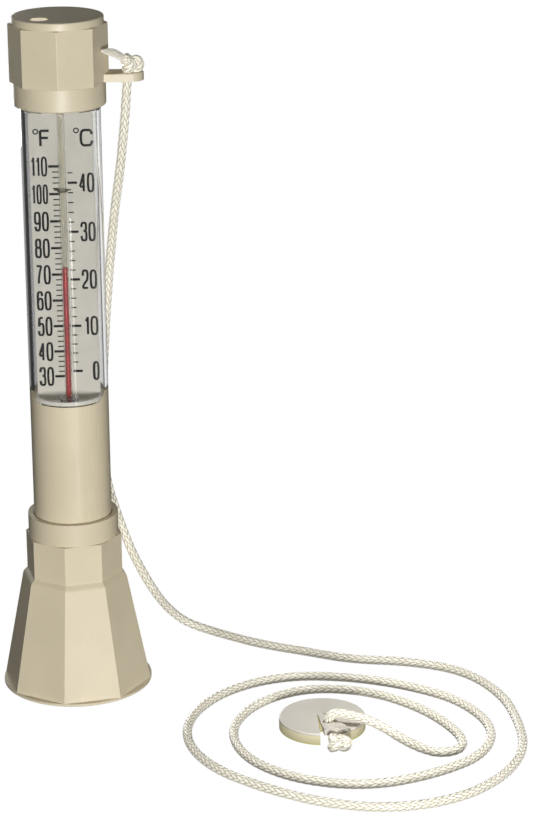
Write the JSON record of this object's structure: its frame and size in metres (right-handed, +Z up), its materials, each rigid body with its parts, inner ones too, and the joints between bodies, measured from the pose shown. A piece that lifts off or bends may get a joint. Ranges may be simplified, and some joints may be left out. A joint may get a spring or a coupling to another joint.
{
  "type": "floating pool thermometer",
  "caption": "Floating pool thermometer: glass stem and scale card in a clear tube on a beige tube, with a screw cap, a weighted octagonal base and a braided tether with a round tag.",
  "frame": {"origin": "middle of the base cover's underside, on the floor the thermometer stands on", "axes": "+Z up along the tubes to the cap; the scale faces -Y; the cap's cord lug points to +X"},
  "size_m": [0.1767, 0.1487, 0.235],
  "materials": {
    "housing_plastic": "satin moulded",
    "tube_plastic": "satin extruded",
    "cap_plastic": "satin moulded",
    "plug_plastic": "satin",
    "clear_plastic": "clear polished",
    "inner_plastic": "satin",
    "seal_rubber": "matte",
    "ballast_iron": "raw",
    "pad_felt": "felt",
    "scale_card": "printed satin",
    "white_plastic": "satin",
    "stem_glass": "clear",
    "red_spirit": "wet",
    "tie_wire": "drawn",
    "clear_rubber": "soft",
    "tag_plastic": "satin moulded",
    "cord_braid": "glossy braid"
  },
  "bodies": {
    "housing": {"base": "housing_plastic", "base_cover": "housing_plastic", "ballast_pad": "pad_felt", "ballast_ring": "ballast_iron", "tube_end_plug": "inner_plastic", "end_gasket": "seal_rubber", "lower_tube": "tube_plastic", "clear_tube": "clear_plastic", "tube_coupler": "inner_plastic", "scale_card": "scale_card", "card_holder": "white_plastic", "glass_stem": "stem_glass", "glass_bulb": "stem_glass", "spirit_reservoir": "red_spirit", "spirit_column": "red_spirit", "stem_tie": "tie_wire", "stem_grommet": "clear_rubber", "stem_cushion": "clear_rubber"},
    "spirit_top": {"spirit_meniscus": "red_spirit"},
    "cap_lift": {"cap_gasket": "seal_rubber"},
    "screw_cap": {"cap": "cap_plastic", "vent_plug": "plug_plastic", "upper_knot": "cord_braid", "cord": "cord_braid", "cord_tail": "cord_braid"},
    "tag": {"tether_disc": "tag_plastic", "lower_knot": "cord_braid", "cord_end": "cord_braid"}
  },
  "joints": [
    {"name": "spirit_rise", "type": "slide", "parent": "housing", "child": "spirit_top", "axis": [0, 0, 1], "range_m": [-0.0386, 0.0344], "deforming": ["spirit_column"]},
    {"name": "cap_rise", "type": "slide", "parent": "housing", "child": "cap_lift", "axis": [0, 0, 1], "range_m": [0, 0.0046]},
    {"name": "cap_turn", "type": "hinge", "parent": "cap_lift", "child": "screw_cap", "pos_m": [0, 0, 0.22], "axis": [0, 0, 1], "range_deg": [0, 540]},
    {"name": "tag_swivel", "type": "hinge", "parent": "screw_cap", "child": "tag", "pos_m": [0.08506, -0.05245, 0.0034], "axis": [0, 0, 1], "range_deg": [-25, 20]}
  ],
  "couplings": [
    {"joint": "cap_rise", "follows": "cap_turn", "m_per_rad": 0.00047746}
  ]
}
